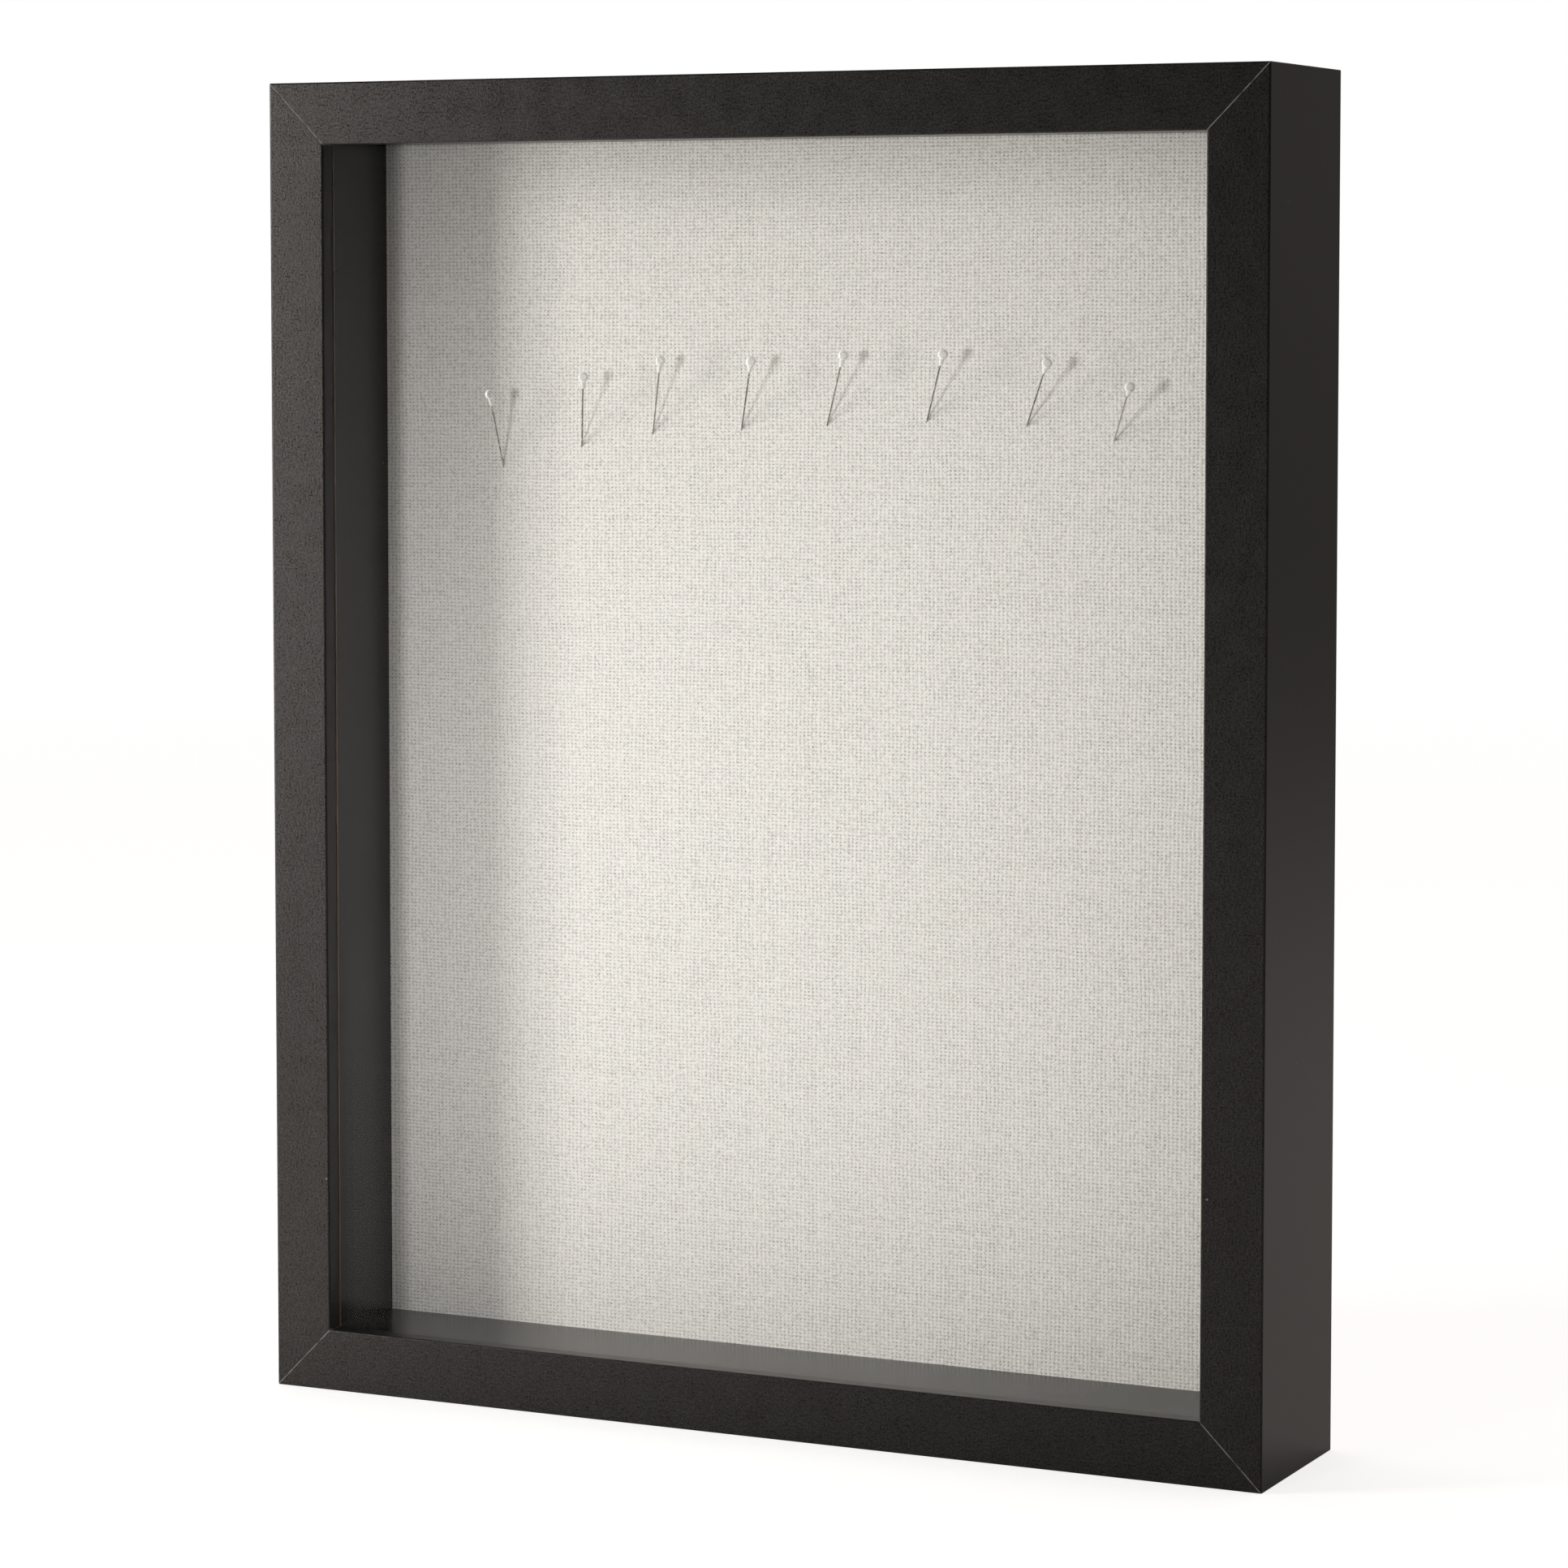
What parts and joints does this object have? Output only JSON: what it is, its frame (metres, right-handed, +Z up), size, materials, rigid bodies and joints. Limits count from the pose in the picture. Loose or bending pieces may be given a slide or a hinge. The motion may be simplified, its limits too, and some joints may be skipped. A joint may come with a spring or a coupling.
{
  "type": "shadow box",
  "caption": "Deep black picture frame with glass, a linen pin board and ball-headed pins for small keepsakes; loads from the back, with turn buttons.",
  "frame": {"origin": "under the middle of the whole box, on the surface that it stands on", "axes": "+Z up, the glass front faces -Y, +X to the right as seen from the front"},
  "size_m": [0.318, 0.0624, 0.395],
  "materials": {
    "frame_wrap": "matte black wrap with a fine pitted grain over fibreboard",
    "spacer_wrap": "matte black paper over card",
    "pane": "clear polished glass",
    "linen": "plain-woven natural linen, pale warm grey",
    "pin_board": "soft fibreboard",
    "hardboard": "brown hardboard",
    "fastener_steel": "zinc-plated steel",
    "hanger_steel": "zinc-plated pressed steel",
    "button_steel": "black-painted pressed steel",
    "bumper_rubber": "matte black rubber",
    "pin_steel": "bright drawn steel wire",
    "pin_ball": "clear moulded plastic"
  },
  "bodies": {
    "case": {"back_panel": "hardboard", "corner_v_nails": "fastener_steel", "frame_bottom": "frame_wrap", "frame_left": "frame_wrap", "frame_right": "frame_wrap", "frame_top": "frame_wrap", "glass_pane": "pane", "hanger_nails": "fastener_steel", "linen_cover": "linen", "pin_board": "pin_board", "sawtooth_hanger_left": "hanger_steel", "sawtooth_hanger_top": "hanger_steel", "spacer_bottom": "spacer_wrap", "spacer_left": "spacer_wrap", "spacer_right": "spacer_wrap", "spacer_top": "spacer_wrap", "turn_button_screws": "fastener_steel", "wall_bumpers": "bumper_rubber"},
    "pin_1": {"pin_1_shaft": "pin_steel", "pin_1_head": "pin_ball"},
    "pin_2": {"pin_2_shaft": "pin_steel", "pin_2_head": "pin_ball"},
    "pin_3": {"pin_3_shaft": "pin_steel", "pin_3_head": "pin_ball"},
    "pin_4": {"pin_4_shaft": "pin_steel", "pin_4_head": "pin_ball"},
    "pin_5": {"pin_5_shaft": "pin_steel", "pin_5_head": "pin_ball"},
    "pin_6": {"pin_6_shaft": "pin_steel", "pin_6_head": "pin_ball"},
    "pin_7": {"pin_7_shaft": "pin_steel", "pin_7_head": "pin_ball"},
    "pin_8": {"pin_8_shaft": "pin_steel", "pin_8_head": "pin_ball"},
    "turn_button_1": {"turn_button_1": "button_steel"},
    "turn_button_2": {"turn_button_2": "button_steel"},
    "turn_button_3": {"turn_button_3": "button_steel"},
    "turn_button_4": {"turn_button_4": "button_steel"},
    "turn_button_5": {"turn_button_5": "button_steel"},
    "turn_button_6": {"turn_button_6": "button_steel"},
    "turn_button_7": {"turn_button_7": "button_steel"},
    "turn_button_8": {"turn_button_8": "button_steel"}
  },
  "joints": [
    {"name": "pin_1_pull", "type": "slide", "parent": "case", "child": "pin_1", "axis": [0.091, -0.4924, 0.8656], "range_m": [0, 0.0105]},
    {"name": "pin_2_pull", "type": "slide", "parent": "case", "child": "pin_2", "axis": [0.282, -0.5, 0.8188], "range_m": [0, 0.0105]},
    {"name": "pin_3_pull", "type": "slide", "parent": "case", "child": "pin_3", "axis": [0.3049, -0.4067, 0.8611], "range_m": [0, 0.0105]},
    {"name": "pin_4_pull", "type": "slide", "parent": "case", "child": "pin_4", "axis": [0.3557, -0.4848, 0.799], "range_m": [0, 0.0105]},
    {"name": "pin_5_pull", "type": "slide", "parent": "case", "child": "pin_5", "axis": [0.3973, -0.4226, 0.8146], "range_m": [0, 0.0105]},
    {"name": "pin_6_pull", "type": "slide", "parent": "case", "child": "pin_6", "axis": [0.4106, -0.4848, 0.7722], "range_m": [0, 0.0105]},
    {"name": "pin_7_pull", "type": "slide", "parent": "case", "child": "pin_7", "axis": [0.4581, -0.5225, 0.7191], "range_m": [0, 0.0105]},
    {"name": "pin_8_pull", "type": "slide", "parent": "case", "child": "pin_8", "axis": [0.4416, -0.6494, 0.6191], "range_m": [0, 0.0105]},
    {"name": "turn_button_1_swing", "type": "hinge", "parent": "case", "child": "turn_button_1", "pos_m": [-0.15375, 0.0268, 0.3155], "axis": [0, 1, 0], "range_deg": [-90, 90]},
    {"name": "turn_button_2_swing", "type": "hinge", "parent": "case", "child": "turn_button_2", "pos_m": [-0.15375, 0.0268, 0.0795], "axis": [0, 1, 0], "range_deg": [-90, 90]},
    {"name": "turn_button_3_swing", "type": "hinge", "parent": "case", "child": "turn_button_3", "pos_m": [0.15375, 0.0268, 0.3155], "axis": [0, 1, 0], "range_deg": [-90, 90]},
    {"name": "turn_button_4_swing", "type": "hinge", "parent": "case", "child": "turn_button_4", "pos_m": [0.15375, 0.0268, 0.0795], "axis": [0, 1, 0], "range_deg": [-90, 90]},
    {"name": "turn_button_5_swing", "type": "hinge", "parent": "case", "child": "turn_button_5", "pos_m": [-0.088, 0.0268, 0.38975], "axis": [0, 1, 0], "range_deg": [-90, 90]},
    {"name": "turn_button_6_swing", "type": "hinge", "parent": "case", "child": "turn_button_6", "pos_m": [0.088, 0.0268, 0.38975], "axis": [0, 1, 0], "range_deg": [-90, 90]},
    {"name": "turn_button_7_swing", "type": "hinge", "parent": "case", "child": "turn_button_7", "pos_m": [-0.088, 0.0268, 0.00525], "axis": [0, 1, 0], "range_deg": [-90, 90]},
    {"name": "turn_button_8_swing", "type": "hinge", "parent": "case", "child": "turn_button_8", "pos_m": [0.088, 0.0268, 0.00525], "axis": [0, 1, 0], "range_deg": [-90, 90]}
  ]
}
